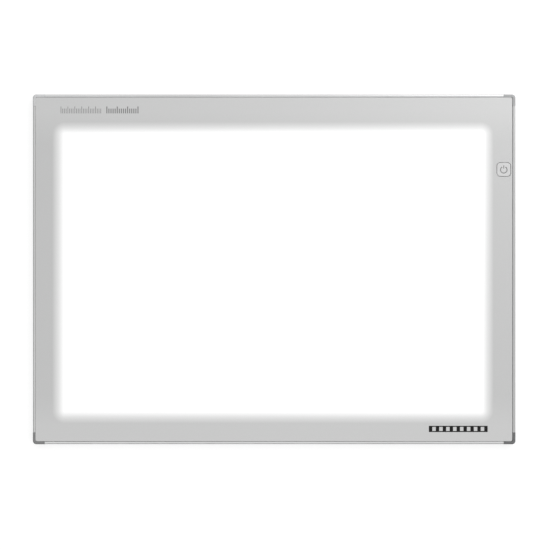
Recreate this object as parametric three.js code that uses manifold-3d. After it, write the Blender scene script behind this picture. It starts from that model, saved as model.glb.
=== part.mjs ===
// Slim edge-lit light box for tracing and drafting, A2 class.
// Millimetres, +Z up, origin on the desk under the middle of the pad. The front edge faces -Y.
import * as THREE from "three";
import { mergeVertices } from "three/addons/utils/BufferGeometryUtils.js";
import Module from "manifold-3d";

const wasm = await Module();
wasm.setup();

// ---- Overall size ----
const WIDTH = 698;
const DEPTH = 506;
const HEIGHT = 16;
const OUTLINE_RADIUS = 5;

// ---- Frame: four extruded rails joined by four moulded corners ----
// Every inset is measured inwards from the outside of the pad.
const BASE = 1.5; // the frame and the back cover start this far above the desk
const EDGE_ROUND = 2;
const RAIL = { inset: 0.2, top: 15.8, wall: 1.4 };
const CORNER = { arm: 17, top: 15.9, wall: 6, roof: 1.4 };
const SEAM = 0.3; // between a rail's end and a corner
const RIM_INSET = 4; // inner face of the rim, next to the front panel
const CHAMBER = { near: 1.9, far: 4.6, low: 4.4, high: 11.2 }; // hollow that the corner tongues fill
const TONGUE = { length: 22, root: 2, clear: 0.3 };
const SHELF = { reach: 13, low: 11.4, high: 12.6 }; // carries the edge of the front panel
const FLANGE = { reach: 15, low: 3, high: 4.2 }; // takes the cover screws
const COVER_LIP = 3; // width of the rim underneath, round the back cover

// ---- Front panel and the sheets under it ----
const PANEL = { inset: 4.4, low: 13, radius: 2.5, chamfer: 0.4 };
const PANEL_TAPE = { near: 5.2, far: 12.4, low: 12.65, high: 12.95 };
const GUIDE_INSET = { left: 28, right: 31, front: 28, rear: 38 };
const DIFFUSER = { low: 12.5, high: 12.9 };
const GUIDE = { low: 8.4, high: 12.4 };
const REFLECTOR = { low: 7.95, high: 8.25 };
const FOAM = { low: 3.1, high: 7.8, margin: 1 };
const LAYER_GAP = 0.1;

// ---- LED strips on aluminium bars, along the front and rear edges of the light guide ----
const LED = { count: 42, pitch: 15, width: 3.5, height: 2.8, thick: 0.8, gap: 0.4, seat: 0.2 };
const STRIP = { length: 635, thick: 1, low: 8, high: 12.4 };
const STRIP_TAPE_THICK = 0.3;
const HEAT_BAR = { length: 630, wall: 1.5, low: 3.1, high: 12.4, foot: 7.5, footTop: 4.5 };

// ---- Back cover, feet, label and cover screws ----
const COVER = { inset: 3.3, high: 2.9, radius: 3 };
const FOOT = { radius: 7.5, top: 1.85, chamfer: 0.35, recess: 1.95, clear: 0.3 };
const FOOT_COLUMNS = { left: -300, middle: 0, right: 300 };
const FOOT_ROWS = { front: -205, rear: 205 };
const LABEL = { width: 70, depth: 32, x: 236, y: 110, low: 1.55, high: 1.7, recess: 1.8, clear: 0.3 };
const COVER_SCREW = { inset: 9.5, head: 2.7, shank: 1.3, headLow: 1.6, headRim: 1.8, neck: 3.1, end: 8 };
const COVER_SCREW_CLEAR = 0.35;
const COVER_THREAD_RADIUS = 1.5;
const CORNER_BOSS = { radius: 3.3, threadTop: 10 };
const SCREW_SPOTS = { front: [-190, 0, 190], rear: [-190, 0, 190], left: [0], right: [0] };

// ---- Power key and its switch, in the right-hand border ----
// "along" runs from front to rear through the middle of that side.
const KEY = { along: 144.3, inset: 17.1, size: 19.4, radius: 4.5, top: 15.95, chamfer: 0.4, gap: 0.6 };
const KEY_STEM_LOW = 12.7;
const KEY_FLANGE = { along: 25, across: 18, radius: 2, low: 11.6, high: 12.85 };
const KEY_BOSS = { radius: 2.5, low: 11.25 };
const KEY_NOTCH = { near: 6.2, along: 28 }; // opening in the shelf and the tape round the key
const ICON = { radius: 4.7, line: 1.2, depth: 0.25, gapAngle: 0.52, middle: -0.5, barFrom: 1.6, barTo: 6.4 };
const SWITCH = { size: 6.2, high: 10.35, bore: 2.1, boreLow: 8.2 };
const PLUNGER = { radius: 1.75, low: 8.95, high: 11.2 };

// ---- Control board ----
const BOARD = { near: 7.5, far: 28.5, from: 100, to: 190, low: 5.6, high: 6.8 };
const ON_BOARD = 6.95; // underside of what is soldered on the board
const BOARD_SCREW = { inset: 11, spots: [105, 185], head: 2.2, shank: 1, headLow: 6.95, headTop: 8.2 };
const BOARD_SCREW_HOLE = 1.3;
const BOARD_SCREW_END = 3.1;
const SPACER = { radius: 2.75, low: 4.3, high: 5.5 };
const CHIP = { along: 118, inset: 18, length: 5, width: 4, high: 8.5 };
const INDUCTOR = { along: 124, inset: 12, size: 6, radius: 1.2, high: 9.9 };
const CAPACITOR = { along: 162, inset: 24.4, radius: 2.5, length: 8 };

// ---- Power inlet for a 5.5 x 2.1 mm plug, behind a round recess in the right-hand rail ----
const INLET_RECESS = { radius: 4.2, depth: 4.7 };
const JACK = { along: 172, height: 7.8, near: 6.4, far: 22, width: 8.5, low: 4.5, high: 11.1 };
const JACK_NOSE = { radius: 3.25, tip: 4.9, railHole: 3.55 };
const JACK_BORE = { radius: 2.85, end: 16.3 };
const JACK_EARS = { near: 11, far: 18, span: 14, high: 7.75 };
const JACK_CUTOUT_MARGIN = 0.4;
const JACK_PIN = { radius: 1.05, tip: 5.2, end: 21, hole: 1.35 };
const JACK_SLOT = { near: 7, far: 21.4, width: 2.2, high: 6 };
const CONTACT = { width: 1.6, thick: 0.3, start: 8.5, crest: 10, rest: 12, end: 21 };
const CONTACT_HEIGHTS = { flat: 4.6, crest: 5.1 };

// ---- Leads from the board to the LED strips ----
const SOCKET = { inset: 22, width: 6, length: 6.5, high: 10.4, margin: 0.6 };
const SOCKET_MOUTH = { size: 2.8, depth: 4 };
const LEAD = { radius: 0.9, sides: 8, step: 5, height: 8.6, endHeight: 10.2, clear: 0.4 };
const LEAD_BEND = { along: 22, inwards: 3 };
const CLIP = { length: 5, width: 5, low: 3.1, high: 10, slot: 2.6, slotLow: 7.3 };
const CLIP_SPOTS = [40, -110];

const TURNED_SIDES = 24;
const SCREW_SIDES = 12;
const OVERSHOOT = 1; // how far a cutting tool runs past what it cuts

// ---- Solids ----

// A closed geometry as a manifold-3d solid.
function solid(geometry) {
  const bare = new THREE.BufferGeometry();
  bare.setAttribute("position", geometry.getAttribute("position"));
  bare.setIndex(geometry.index);
  const merged = mergeVertices(bare, 1e-4);
  const index = merged.index.array;
  const triVerts = [];
  for (let i = 0; i < index.length; i += 3) {
    const [a, b, c] = index.slice(i, i + 3);
    if (a !== b && b !== c && c !== a) triVerts.push(a, b, c);
  }
  return new wasm.Manifold(
    new wasm.Mesh({
      numProp: 3,
      vertProperties: merged.attributes.position.array,
      triVerts: new Uint32Array(triVerts),
    }),
  );
}

function geometryOf(made) {
  const { vertProperties, triVerts } = made.getMesh();
  const geometry = new THREE.BufferGeometry();
  geometry.setAttribute("position", new THREE.BufferAttribute(vertProperties, 3));
  geometry.setIndex(new THREE.BufferAttribute(triVerts, 1));
  geometry.computeVertexNormals();
  return geometry;
}

// Joins the geometries in add, then takes those in remove away.
function carve(add, remove = []) {
  const [first, ...rest] = add.map(solid);
  const joined = rest.reduce((sum, piece) => sum.add(piece), first);
  return geometryOf(remove.map(solid).reduce((left, tool) => left.subtract(tool), joined));
}

// ---- Basic shapes ----

function box([x0, x1], [y0, y1], [z0, z1]) {
  const size = [x1 - x0, y1 - y0, z1 - z0].map(Math.abs);
  return new THREE.BoxGeometry(...size).translate((x0 + x1) / 2, (y0 + y1) / 2, (z0 + z1) / 2);
}

// The range of a length centred on a place.
function about(middle, length) {
  return [middle - length / 2, middle + length / 2];
}

function roundedRectangle(width, depth, radius, x = 0, y = 0) {
  const [a, b] = [width / 2 - radius, depth / 2 - radius];
  const shape = new THREE.Shape();
  shape.absarc(x + a, y + b, radius, 0, Math.PI / 2);
  shape.absarc(x - a, y + b, radius, Math.PI / 2, Math.PI);
  shape.absarc(x - a, y - b, radius, Math.PI, 1.5 * Math.PI);
  shape.absarc(x + a, y - b, radius, 1.5 * Math.PI, 2 * Math.PI);
  shape.closePath();
  return shape;
}

// An outline raised from low to high, its two edges cut back by edge: one step is a chamfer, more a round.
function plate(shape, low, high, edge = 0, steps = 1) {
  const raised = new THREE.ExtrudeGeometry(shape, {
    depth: high - low - 2 * edge,
    curveSegments: 3,
    bevelEnabled: edge > 0,
    bevelThickness: edge,
    bevelSize: edge,
    bevelOffset: -edge,
    bevelSegments: steps,
  });
  return raised.translate(0, 0, low + edge);
}

// A section drawn in (y, z) and run out along x.
function bar(section, [from, to]) {
  const [ex, ey, ez] = [0, 1, 2].map((axis) => new THREE.Vector3().setComponent(axis, 1));
  const run = new THREE.ExtrudeGeometry(section, { depth: to - from, bevelEnabled: false, curveSegments: 3 });
  return run.applyMatrix4(new THREE.Matrix4().makeBasis(ey, ez, ex)).translate(from, 0, 0);
}

// A turned solid with its axis along z, from [radius, height] points that start and end on the axis.
function turned(points, sides = TURNED_SIDES) {
  const profile = points.map(([radius, height]) => new THREE.Vector2(radius, height));
  return new THREE.LatheGeometry(profile, sides).rotateX(Math.PI / 2);
}

function upright(radius, [low, high], x = 0, y = 0, sides = SCREW_SIDES) {
  const rod = new THREE.CylinderGeometry(radius, radius, high - low, sides).rotateX(Math.PI / 2);
  return rod.translate(x, y, (low + high) / 2);
}

// A round rod running inwards, along y.
function inward(radius, [near, far], x, z) {
  const rod = new THREE.CylinderGeometry(radius, radius, far - near, TURNED_SIDES);
  return rod.translate(x, (near + far) / 2, z);
}

// ---- Finishes ----

function finish(color, roughness, metalness = 0) {
  return new THREE.MeshStandardMaterial({ color, roughness, metalness });
}

const FINISH = {
  panel: finish(0xc9cbcb, 0.35),
  aluminium: finish(0xc4c6c7, 0.42, 0.9),
  cornerPlastic: finish(0x6e7072, 0.5),
  coverPlastic: finish(0xd2d3d3, 0.6),
  keyPlastic: finish(0xcfd1d1, 0.4),
  rubber: finish(0x2b2b2c, 0.9),
  steel: finish(0xb9bbbd, 0.3, 1),
  clearAcrylic: finish(0xe6f0f2, 0.08),
  whiteFilm: finish(0xf6f6f4, 0.7),
  foam: finish(0xf0efea, 0.95),
  stripBoard: finish(0xf4f4ef, 0.5),
  greenBoard: finish(0x1f6a3c, 0.45),
  blackPlastic: finish(0x1c1c1e, 0.5),
  brass: finish(0xc9a45a, 0.3, 1),
  nylon: finish(0xe9e6dc, 0.6),
  leadJacket: finish(0xece9e2, 0.55),
  tape: finish(0x3a3a3c, 0.8),
  label: finish(0xdfe0e0, 0.5),
  capacitorSleeve: finish(0x23304d, 0.4),
  ferrite: finish(0x3c3b3a, 0.7),
};

function mesh(name, geometry, material) {
  const made = new THREE.Mesh(geometry, material.clone());
  made.name = name;
  return made;
}

// ---- Frame ----

function railSection() {
  const { inset, top, wall } = RAIL;
  const round = EDGE_ROUND;
  const inner = CHAMBER.far + wall;
  const section = new THREE.Shape();
  section.moveTo(COVER_LIP, BASE);
  section.lineTo(COVER_LIP, FLANGE.low);
  section.lineTo(FLANGE.reach, FLANGE.low);
  section.lineTo(FLANGE.reach, FLANGE.high);
  section.lineTo(inner, FLANGE.high);
  section.lineTo(inner, SHELF.low);
  section.lineTo(SHELF.reach, SHELF.low);
  section.lineTo(SHELF.reach, SHELF.high);
  section.lineTo(RIM_INSET, SHELF.high);
  section.lineTo(RIM_INSET, top);
  section.absarc(inset + round, top - round, round, Math.PI / 2, Math.PI);
  section.absarc(inset + round, BASE + round, round, Math.PI, 1.5 * Math.PI);
  section.closePath();
  const hollow = new THREE.Path();
  hollow.moveTo(CHAMBER.near, CHAMBER.low);
  hollow.lineTo(CHAMBER.near, CHAMBER.high);
  hollow.lineTo(CHAMBER.far, CHAMBER.high);
  hollow.lineTo(CHAMBER.far, CHAMBER.low);
  hollow.closePath();
  section.holes.push(hollow);
  return section;
}

function rail(side, cuts = []) {
  const length = SIDES[side].length - 2 * (CORNER.arm + SEAM);
  const threads = SCREW_SPOTS[side].map((x) =>
    upright(COVER_THREAD_RADIUS, [FLANGE.low - OVERSHOOT, FLANGE.high + OVERSHOOT], x, COVER_SCREW.inset),
  );
  const shape = carve([bar(railSection(), about(0, length))], [...threads, ...cuts]);
  return mesh(`rail_${side}`, shape, FINISH.aluminium);
}

// What the right-hand rail gives up to the key, the inlet and the board's screws.
function rightRailCuts() {
  return [
    keyNotch([SHELF.low - OVERSHOOT, SHELF.high + OVERSHOOT]),
    inward(INLET_RECESS.radius, [-OVERSHOOT, INLET_RECESS.depth], JACK.along, JACK.height),
    inward(JACK_NOSE.railHole, [0, CHAMBER.far + RAIL.wall + OVERSHOOT], JACK.along, JACK.height),
    ...BOARD_SCREW.spots.map((x) =>
      upright(BOARD_SCREW_HOLE, [FLANGE.low - OVERSHOOT, FLANGE.high + OVERSHOOT], x, BOARD_SCREW.inset),
    ),
  ];
}

// Room for the key's flange, cut through the shelf in the right-hand side's frame.
function keyNotch(heights, near = KEY_NOTCH.near) {
  return box(about(KEY.along, KEY_NOTCH.along), [near, SHELF.reach + OVERSHOOT], heights);
}

// A moulded corner. toX and toY, each 1 or -1, say which corner of the pad it is.
function corner(name, toX, toY) {
  const place = (x, y) => [toX * (WIDTH / 2 - x), toY * (DEPTH / 2 - y)];
  const block = ([x0, x1], [y0, y1], heights) => {
    const [from, to] = [place(x0, y0), place(x1, y1)];
    return box([from[0], to[0]], [from[1], to[1]], heights);
  };
  const { arm, top, wall, roof } = CORNER;
  const outline = solid(plate(roundedRectangle(WIDTH, DEPTH, OUTLINE_RADIUS), BASE, top, EDGE_ROUND, 6));
  const quarter = geometryOf(outline.intersect(solid(block([0, arm], [0, arm], [0, HEIGHT]))));

  const across = [CHAMBER.near + TONGUE.clear, CHAMBER.far - TONGUE.clear];
  const tall = [CHAMBER.low + TONGUE.clear, CHAMBER.high - TONGUE.clear];
  const along = [arm - TONGUE.root, arm + TONGUE.length];
  const tongues = [block(along, across, tall), block(across, along, tall)];

  const panelPocket = plate(insetOutline(RIM_INSET, PANEL.radius), SHELF.high, HEIGHT + OVERSHOOT);
  const coverPocket = plate(insetOutline(COVER_LIP, COVER.radius), 0, FLANGE.low);
  const room = block([wall, arm + OVERSHOOT], [wall, arm + OVERSHOOT], [BASE, SHELF.high - roof]);
  const shell = carve([quarter, ...tongues], [panelPocket, coverPocket, room]);

  const [x, y] = place(COVER_SCREW.inset, COVER_SCREW.inset);
  const boss = upright(CORNER_BOSS.radius, [FLANGE.low, SHELF.high - roof / 2], x, y);
  const thread = upright(COVER_THREAD_RADIUS, [BASE, CORNER_BOSS.threadTop], x, y);
  return mesh(name, carve([shell, boss], [thread]), FINISH.cornerPlastic);
}

// The pad's outline moved inwards, with its own corner radius.
function insetOutline(inset, radius) {
  return roundedRectangle(WIDTH - 2 * inset, DEPTH - 2 * inset, radius);
}

// ---- Front panel and the sheets under it ----

function frontPanel() {
  const { inset, low, radius, chamfer } = PANEL;
  const opening = KEY.size + 2 * KEY.gap;
  const [x, y] = [WIDTH / 2 - KEY.inset, KEY.along];
  const keyHole = roundedRectangle(opening, opening, KEY.radius + KEY.gap, x, y);
  return mesh(
    "front_panel",
    carve(
      [plate(insetOutline(inset, radius), low, HEIGHT, chamfer)],
      [plate(keyHole, low - OVERSHOOT, HEIGHT + OVERSHOOT)],
    ),
    FINISH.panel,
  );
}

// A frame of adhesive tape on the shelf, open at the power key. Drawn in the right-hand side's frame.
function panelTape() {
  const { near, far, low, high } = PANEL_TAPE;
  const ring = (inset) => [about(0, DEPTH - 2 * inset), [inset, WIDTH - inset]];
  const through = [low - OVERSHOOT, high + OVERSHOOT];
  const inside = box(...ring(far), through);
  const opening = keyNotch(through, 0);
  return mesh("panel_tape", carve([box(...ring(near), [low, high])], [inside, opening]), FINISH.tape);
}

// A sheet of the light guide's outline, less a margin.
function sheet(name, { low, high, margin = 0 }, material) {
  const { left, right, front, rear } = GUIDE_INSET;
  const x = [left + margin - WIDTH / 2, WIDTH / 2 - right - margin];
  const y = [front + margin - DEPTH / 2, DEPTH / 2 - rear - margin];
  return mesh(name, box(x, y, [low, high]), material);
}

// ---- LED strips ----

// A strip, its tape and its bar, in the frame of the front or rear side. shift moves them along the side.
function lightBar(side, shift) {
  const ledFace = GUIDE_INSET[side] - LED.gap;
  const stripFace = ledFace - LED.thick;
  const stripBack = stripFace - STRIP.thick;
  const tapeFace = stripBack - LAYER_GAP;
  const tapeBack = tapeFace - STRIP_TAPE_THICK;
  const barFace = tapeBack - LAYER_GAP;
  const barBack = barFace - HEAT_BAR.wall;

  const ledHeights = about((GUIDE.low + GUIDE.high) / 2, LED.height);
  const leds = Array.from({ length: LED.count }, (_, i) => {
    const x = shift + (i - (LED.count - 1) / 2) * LED.pitch;
    return box(about(x, LED.width), [stripFace - LED.seat, ledFace], ledHeights);
  });
  const board = box(about(shift, STRIP.length), [stripBack, stripFace], [STRIP.low, STRIP.high]);
  const tape = box(about(shift, STRIP.length), [tapeBack, tapeFace], [STRIP.low, STRIP.high]);

  const angle = new THREE.Shape();
  angle.moveTo(barFace, HEAT_BAR.low);
  angle.lineTo(barFace, HEAT_BAR.high);
  angle.lineTo(barBack, HEAT_BAR.high);
  angle.lineTo(barBack, HEAT_BAR.footTop);
  angle.lineTo(barBack - HEAT_BAR.foot, HEAT_BAR.footTop);
  angle.lineTo(barBack - HEAT_BAR.foot, HEAT_BAR.low);
  angle.closePath();
  return [
    mesh(`led_strip_${side}`, carve([board, ...leds]), FINISH.stripBoard),
    mesh(`thermal_tape_${side}`, tape, FINISH.tape),
    mesh(`heat_bar_${side}`, bar(angle, about(shift, HEAT_BAR.length)), FINISH.aluminium),
  ];
}

// ---- Underside ----

function coverScrew(name, x, y) {
  const { head, shank, headLow, headRim, neck, end } = COVER_SCREW;
  const profile = [[0, headLow], [head, headLow], [head, headRim], [shank, neck], [shank, end], [0, end]];
  const screw = mesh(name, turned(profile, SCREW_SIDES), FINISH.steel);
  screw.position.set(x, y, 0);
  return screw;
}

// The countersunk hole that clears a cover screw.
function countersink(x, y) {
  const { head, shank, headRim, neck } = COVER_SCREW;
  const [wide, narrow] = [head + COVER_SCREW_CLEAR, shank + COVER_SCREW_CLEAR];
  const top = FLANGE.high;
  const profile = [[0, 0], [wide, 0], [wide, headRim], [narrow, neck], [narrow, top], [0, top]];
  return turned(profile, SCREW_SIDES).translate(x, y, 0);
}

// Where every cover screw stands in the pad's own frame.
function coverScrewPlaces() {
  const inset = COVER_SCREW.inset;
  const alongSides = Object.entries(SCREW_SPOTS).flatMap(([side, spots]) =>
    spots.map((x, i) => ({ name: `cover_screw_${side}_${i + 1}`, ...onSide(side, x, inset) })),
  );
  const atCorners = CORNERS.map(({ name, toX, toY }) => ({
    name: `cover_screw_${name}`,
    x: toX * (WIDTH / 2 - inset),
    y: toY * (DEPTH / 2 - inset),
  }));
  return [...alongSides, ...atCorners];
}

function footPlaces() {
  return Object.entries(FOOT_ROWS).flatMap(([row, y]) =>
    Object.entries(FOOT_COLUMNS).map(([column, x]) => ({ name: `rubber_foot_${row}_${column}`, x, y })),
  );
}

function rubberFoot({ name, x, y }) {
  const { radius, top, chamfer } = FOOT;
  const profile = [[0, 0], [radius - chamfer, 0], [radius, chamfer], [radius, top], [0, top]];
  const foot = mesh(name, turned(profile), FINISH.rubber);
  foot.position.set(x, y, 0);
  return foot;
}

function backCover() {
  const footRecess = ({ x, y }) => upright(FOOT.radius + FOOT.clear, [0, FOOT.recess], x, y, TURNED_SIDES);
  const { width, depth, recess, clear } = LABEL;
  const labelRecess = box(about(LABEL.x, width + 2 * clear), about(LABEL.y, depth + 2 * clear), [0, recess]);
  const screwHoles = coverScrewPlaces().map(({ x, y }) => countersink(x, y));
  const blank = plate(insetOutline(COVER.inset, COVER.radius), BASE, COVER.high);
  const cover = carve([blank], [...screwHoles, ...footPlaces().map(footRecess), labelRecess]);
  return mesh("back_cover", cover, FINISH.coverPlastic);
}

function blankLabel() {
  const { width, depth, x, y, low, high } = LABEL;
  return mesh("blank_label", box(about(x, width), about(y, depth), [low, high]), FINISH.label);
}

// ---- Power key and switch, drawn round the key's own middle with +x to the rear ----

// The standby sign: a ring open towards the rear, with a bar in the opening. The ring's middle and
// the ends of the bar are measured towards the rear.
function standbySign(heights) {
  const { radius, line, gapAngle, middle, barFrom, barTo } = ICON;
  const ring = new THREE.Shape();
  ring.absarc(0, 0, radius + line / 2, gapAngle, 2 * Math.PI - gapAngle, false);
  ring.absarc(0, 0, radius - line / 2, 2 * Math.PI - gapAngle, gapAngle, true);
  ring.closePath();
  const raised = new THREE.ExtrudeGeometry(ring, {
    depth: heights[1] - heights[0],
    bevelEnabled: false,
    curveSegments: TURNED_SIDES / 2,
  });
  raised.translate(middle, 0, heights[0]);
  return [raised, box([middle + barFrom, middle + barTo], about(0, line), heights)];
}

function powerKey() {
  const { size, radius, top, chamfer } = KEY;
  const cap = plate(roundedRectangle(size, size, radius), KEY_STEM_LOW - chamfer, top, chamfer);
  const { along, across, low, high } = KEY_FLANGE;
  const flange = plate(roundedRectangle(along, across, KEY_FLANGE.radius), low, high);
  const boss = upright(KEY_BOSS.radius, [KEY_BOSS.low, KEY_STEM_LOW]);
  const sign = standbySign([top - ICON.depth, top + OVERSHOOT]);
  return mesh("power_key", carve([cap, flange, boss], sign), FINISH.keyPlastic);
}

function keyAndSwitch() {
  const { size, high, bore, boreLow } = SWITCH;
  const body = box(about(0, size), about(0, size), [ON_BOARD, high]);
  const well = upright(bore, [boreLow, high + OVERSHOOT]);
  const plunger = upright(PLUNGER.radius, [PLUNGER.low, PLUNGER.high]);
  const group = new THREE.Group();
  group.position.set(KEY.along, KEY.inset, 0);
  group.add(
    powerKey(),
    mesh("switch_body", carve([body], [well]), FINISH.blackPlastic),
    mesh("switch_plunger", plunger, FINISH.nylon),
  );
  return group;
}

// ---- Control board, in the right-hand side's frame ----

function controlBoard() {
  const { near, far, from, to, low, high } = BOARD;
  const margin = JACK_CUTOUT_MARGIN;
  const through = [low - OVERSHOOT, high + OVERSHOOT];
  const cutout = box(
    about(JACK.along, JACK.width + 2 * margin),
    [near - OVERSHOOT, JACK.far + margin],
    through,
  );
  const holes = BOARD_SCREW.spots.map((x) => upright(BOARD_SCREW_HOLE, through, x, BOARD_SCREW.inset));
  const board = box([from, to], [near, far], [low, high]);
  return mesh("control_board", carve([board], [cutout, ...holes]), FINISH.greenBoard);
}

function boardFixing(x, number) {
  const { inset, head, shank, headLow, headTop } = BOARD_SCREW;
  const profile = [
    [0, BOARD_SCREW_END],
    [shank, BOARD_SCREW_END],
    [shank, headLow],
    [head, headLow],
    [head, headTop],
    [0, headTop],
  ];
  const { radius, low, high } = SPACER;
  const hole = BOARD_SCREW_HOLE;
  const tube = [[hole, low], [radius, low], [radius, high], [hole, high], [hole, low]];
  const group = new THREE.Group();
  group.position.set(x, inset, 0);
  group.add(
    mesh(`board_screw_${number}`, turned(profile, SCREW_SIDES), FINISH.steel),
    mesh(`board_spacer_${number}`, turned(tube, SCREW_SIDES), FINISH.nylon),
  );
  return group;
}

function boardParts() {
  const chip = box(about(CHIP.along, CHIP.length), about(CHIP.inset, CHIP.width), [ON_BOARD, CHIP.high]);
  const { along, inset, size, radius, high } = INDUCTOR;
  const inductor = plate(roundedRectangle(size, size, radius, along, inset), ON_BOARD, high);
  const can = new THREE.CylinderGeometry(CAPACITOR.radius, CAPACITOR.radius, CAPACITOR.length, TURNED_SIDES)
    .rotateZ(Math.PI / 2)
    .translate(CAPACITOR.along, CAPACITOR.inset, ON_BOARD + CAPACITOR.radius);
  return [
    mesh("driver_chip", chip, FINISH.blackPlastic),
    mesh("inductor", inductor, FINISH.ferrite),
    mesh("capacitor", can, FINISH.capacitorSleeve),
  ];
}

// ---- Power inlet ----

function powerInlet() {
  const { along, height, near, far, width, low, high } = JACK;
  const housing = [
    box(about(along, width), [near, far], [low, high]),
    inward(JACK_NOSE.radius, [JACK_NOSE.tip, near + OVERSHOOT], along, height),
    box(about(along, JACK_EARS.span), [JACK_EARS.near, JACK_EARS.far], [ON_BOARD, JACK_EARS.high]),
  ];
  const hollows = [
    inward(JACK_BORE.radius, [-OVERSHOOT, JACK_BORE.end], along, height),
    inward(JACK_PIN.hole, [near, far + OVERSHOOT], along, height),
    box(about(along, JACK_SLOT.width), [JACK_SLOT.near, JACK_SLOT.far], [low - OVERSHOOT, JACK_SLOT.high]),
  ];
  const pin = inward(JACK_PIN.radius, [JACK_PIN.tip, JACK_PIN.end], along, height);
  return [
    mesh("inlet_housing", carve(housing, hollows), FINISH.blackPlastic),
    mesh("inlet_pin", pin, FINISH.brass),
    mesh("inlet_contact", bar(contactSection(), about(along, CONTACT.width)), FINISH.brass),
  ];
}

// The leaf spring that presses on the plug's barrel.
function contactSection() {
  const { start, crest, rest, end, thick } = CONTACT;
  const underside = [
    [start, CONTACT_HEIGHTS.flat],
    [crest, CONTACT_HEIGHTS.crest],
    [rest, CONTACT_HEIGHTS.flat],
    [end, CONTACT_HEIGHTS.flat],
  ];
  const upperside = underside.map(([y, z]) => [y, z + thick]).reverse();
  return new THREE.Shape([...underside, ...upperside].map(([y, z]) => new THREE.Vector2(y, z)));
}

// ---- Leads to the LED strips, in the right-hand side's frame ----

// toEnd is 1 towards the rear and -1 towards the front; stripAlong and stripEnd say where the strip stops.
function ledLead(name, boardEnd, toEnd, stripAlong, stripEnd) {
  const mouth = boardEnd - toEnd * SOCKET.margin;
  const { inset, width, length, high } = SOCKET;
  const body = box([mouth, mouth - toEnd * length], about(inset, width), [ON_BOARD, high]);
  const floor = mouth - toEnd * SOCKET_MOUTH.depth;
  const hollow = box(
    [floor, mouth + toEnd * OVERSHOOT],
    about(inset, SOCKET_MOUTH.size),
    about(LEAD.height, SOCKET_MOUTH.size),
  );
  const start = [floor + toEnd * LEAD.clear, inset, LEAD.height];
  const bend = [stripAlong - toEnd * LEAD_BEND.along, inset, LEAD.height];
  const outside = [stripAlong, inset, LEAD.height];
  const inside = [stripAlong, inset + LEAD_BEND.inwards, LEAD.endHeight];
  const end = [stripAlong, stripEnd - LEAD.clear, LEAD.endHeight];
  const vectors = (...points) => points.map((point) => new THREE.Vector3(...point));
  const path = new THREE.CurvePath();
  path.add(new THREE.LineCurve3(...vectors(start, bend)));
  path.add(new THREE.CubicBezierCurve3(...vectors(bend, outside, inside, end)));
  const round = new THREE.Shape(
    Array.from({ length: LEAD.sides }, (_, i) => {
      const angle = (2 * Math.PI * i) / LEAD.sides;
      return new THREE.Vector2(LEAD.radius * Math.cos(angle), LEAD.radius * Math.sin(angle));
    }),
  );
  const steps = Math.round(path.getLength() / LEAD.step);
  const tube = new THREE.ExtrudeGeometry(round, { steps, extrudePath: path });
  return [
    mesh(`lead_socket_${name}`, carve([body], [hollow]), FINISH.nylon),
    mesh(`led_lead_${name}`, tube, FINISH.leadJacket),
  ];
}

function leadClip(x, number) {
  const { length, width, low, high, slot, slotLow } = CLIP;
  const block = box(about(x, length), about(SOCKET.inset, width), [low, high]);
  const groove = box(
    about(x, length + OVERSHOOT),
    about(SOCKET.inset, slot),
    [slotLow, high + OVERSHOOT],
  );
  return mesh(`lead_clip_${number}`, carve([block], [groove]), FINISH.nylon);
}

// ---- Assembly ----

// A side's own frame: x along the side, y inwards from the outside of the pad, z up.
const SIDES = {
  front: { length: WIDTH, turn: 0, x: 0, y: -DEPTH / 2 },
  rear: { length: WIDTH, turn: Math.PI, x: 0, y: DEPTH / 2 },
  left: { length: DEPTH, turn: -Math.PI / 2, x: -WIDTH / 2, y: 0 },
  right: { length: DEPTH, turn: Math.PI / 2, x: WIDTH / 2, y: 0 },
};

const CORNERS = [
  { name: "front_left", toX: -1, toY: -1 },
  { name: "front_right", toX: 1, toY: -1 },
  { name: "rear_left", toX: -1, toY: 1 },
  { name: "rear_right", toX: 1, toY: 1 },
];

// A point given in a side's frame, in the pad's own frame.
function onSide(side, along, inset) {
  const { turn, x, y } = SIDES[side];
  const [c, s] = [Math.cos(turn), Math.sin(turn)];
  return { x: x + along * c - inset * s, y: y + along * s + inset * c };
}

function sideGroup(side, ...pieces) {
  const { turn, x, y } = SIDES[side];
  const group = new THREE.Group();
  group.position.set(x, y, 0);
  group.rotation.z = turn;
  group.add(...pieces);
  return group;
}

// Where an LED strip lies and ends, seen from the right-hand side.
const guideShift = (GUIDE_INSET.left - GUIDE_INSET.right) / 2;
const stripEnd = WIDTH / 2 - guideShift - STRIP.length / 2;
const stripMiddle = LED.gap + LED.thick + STRIP.thick / 2;
const frontStrip = GUIDE_INSET.front - stripMiddle - DEPTH / 2;
const rearStrip = DEPTH / 2 - GUIDE_INSET.rear + stripMiddle;

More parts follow.
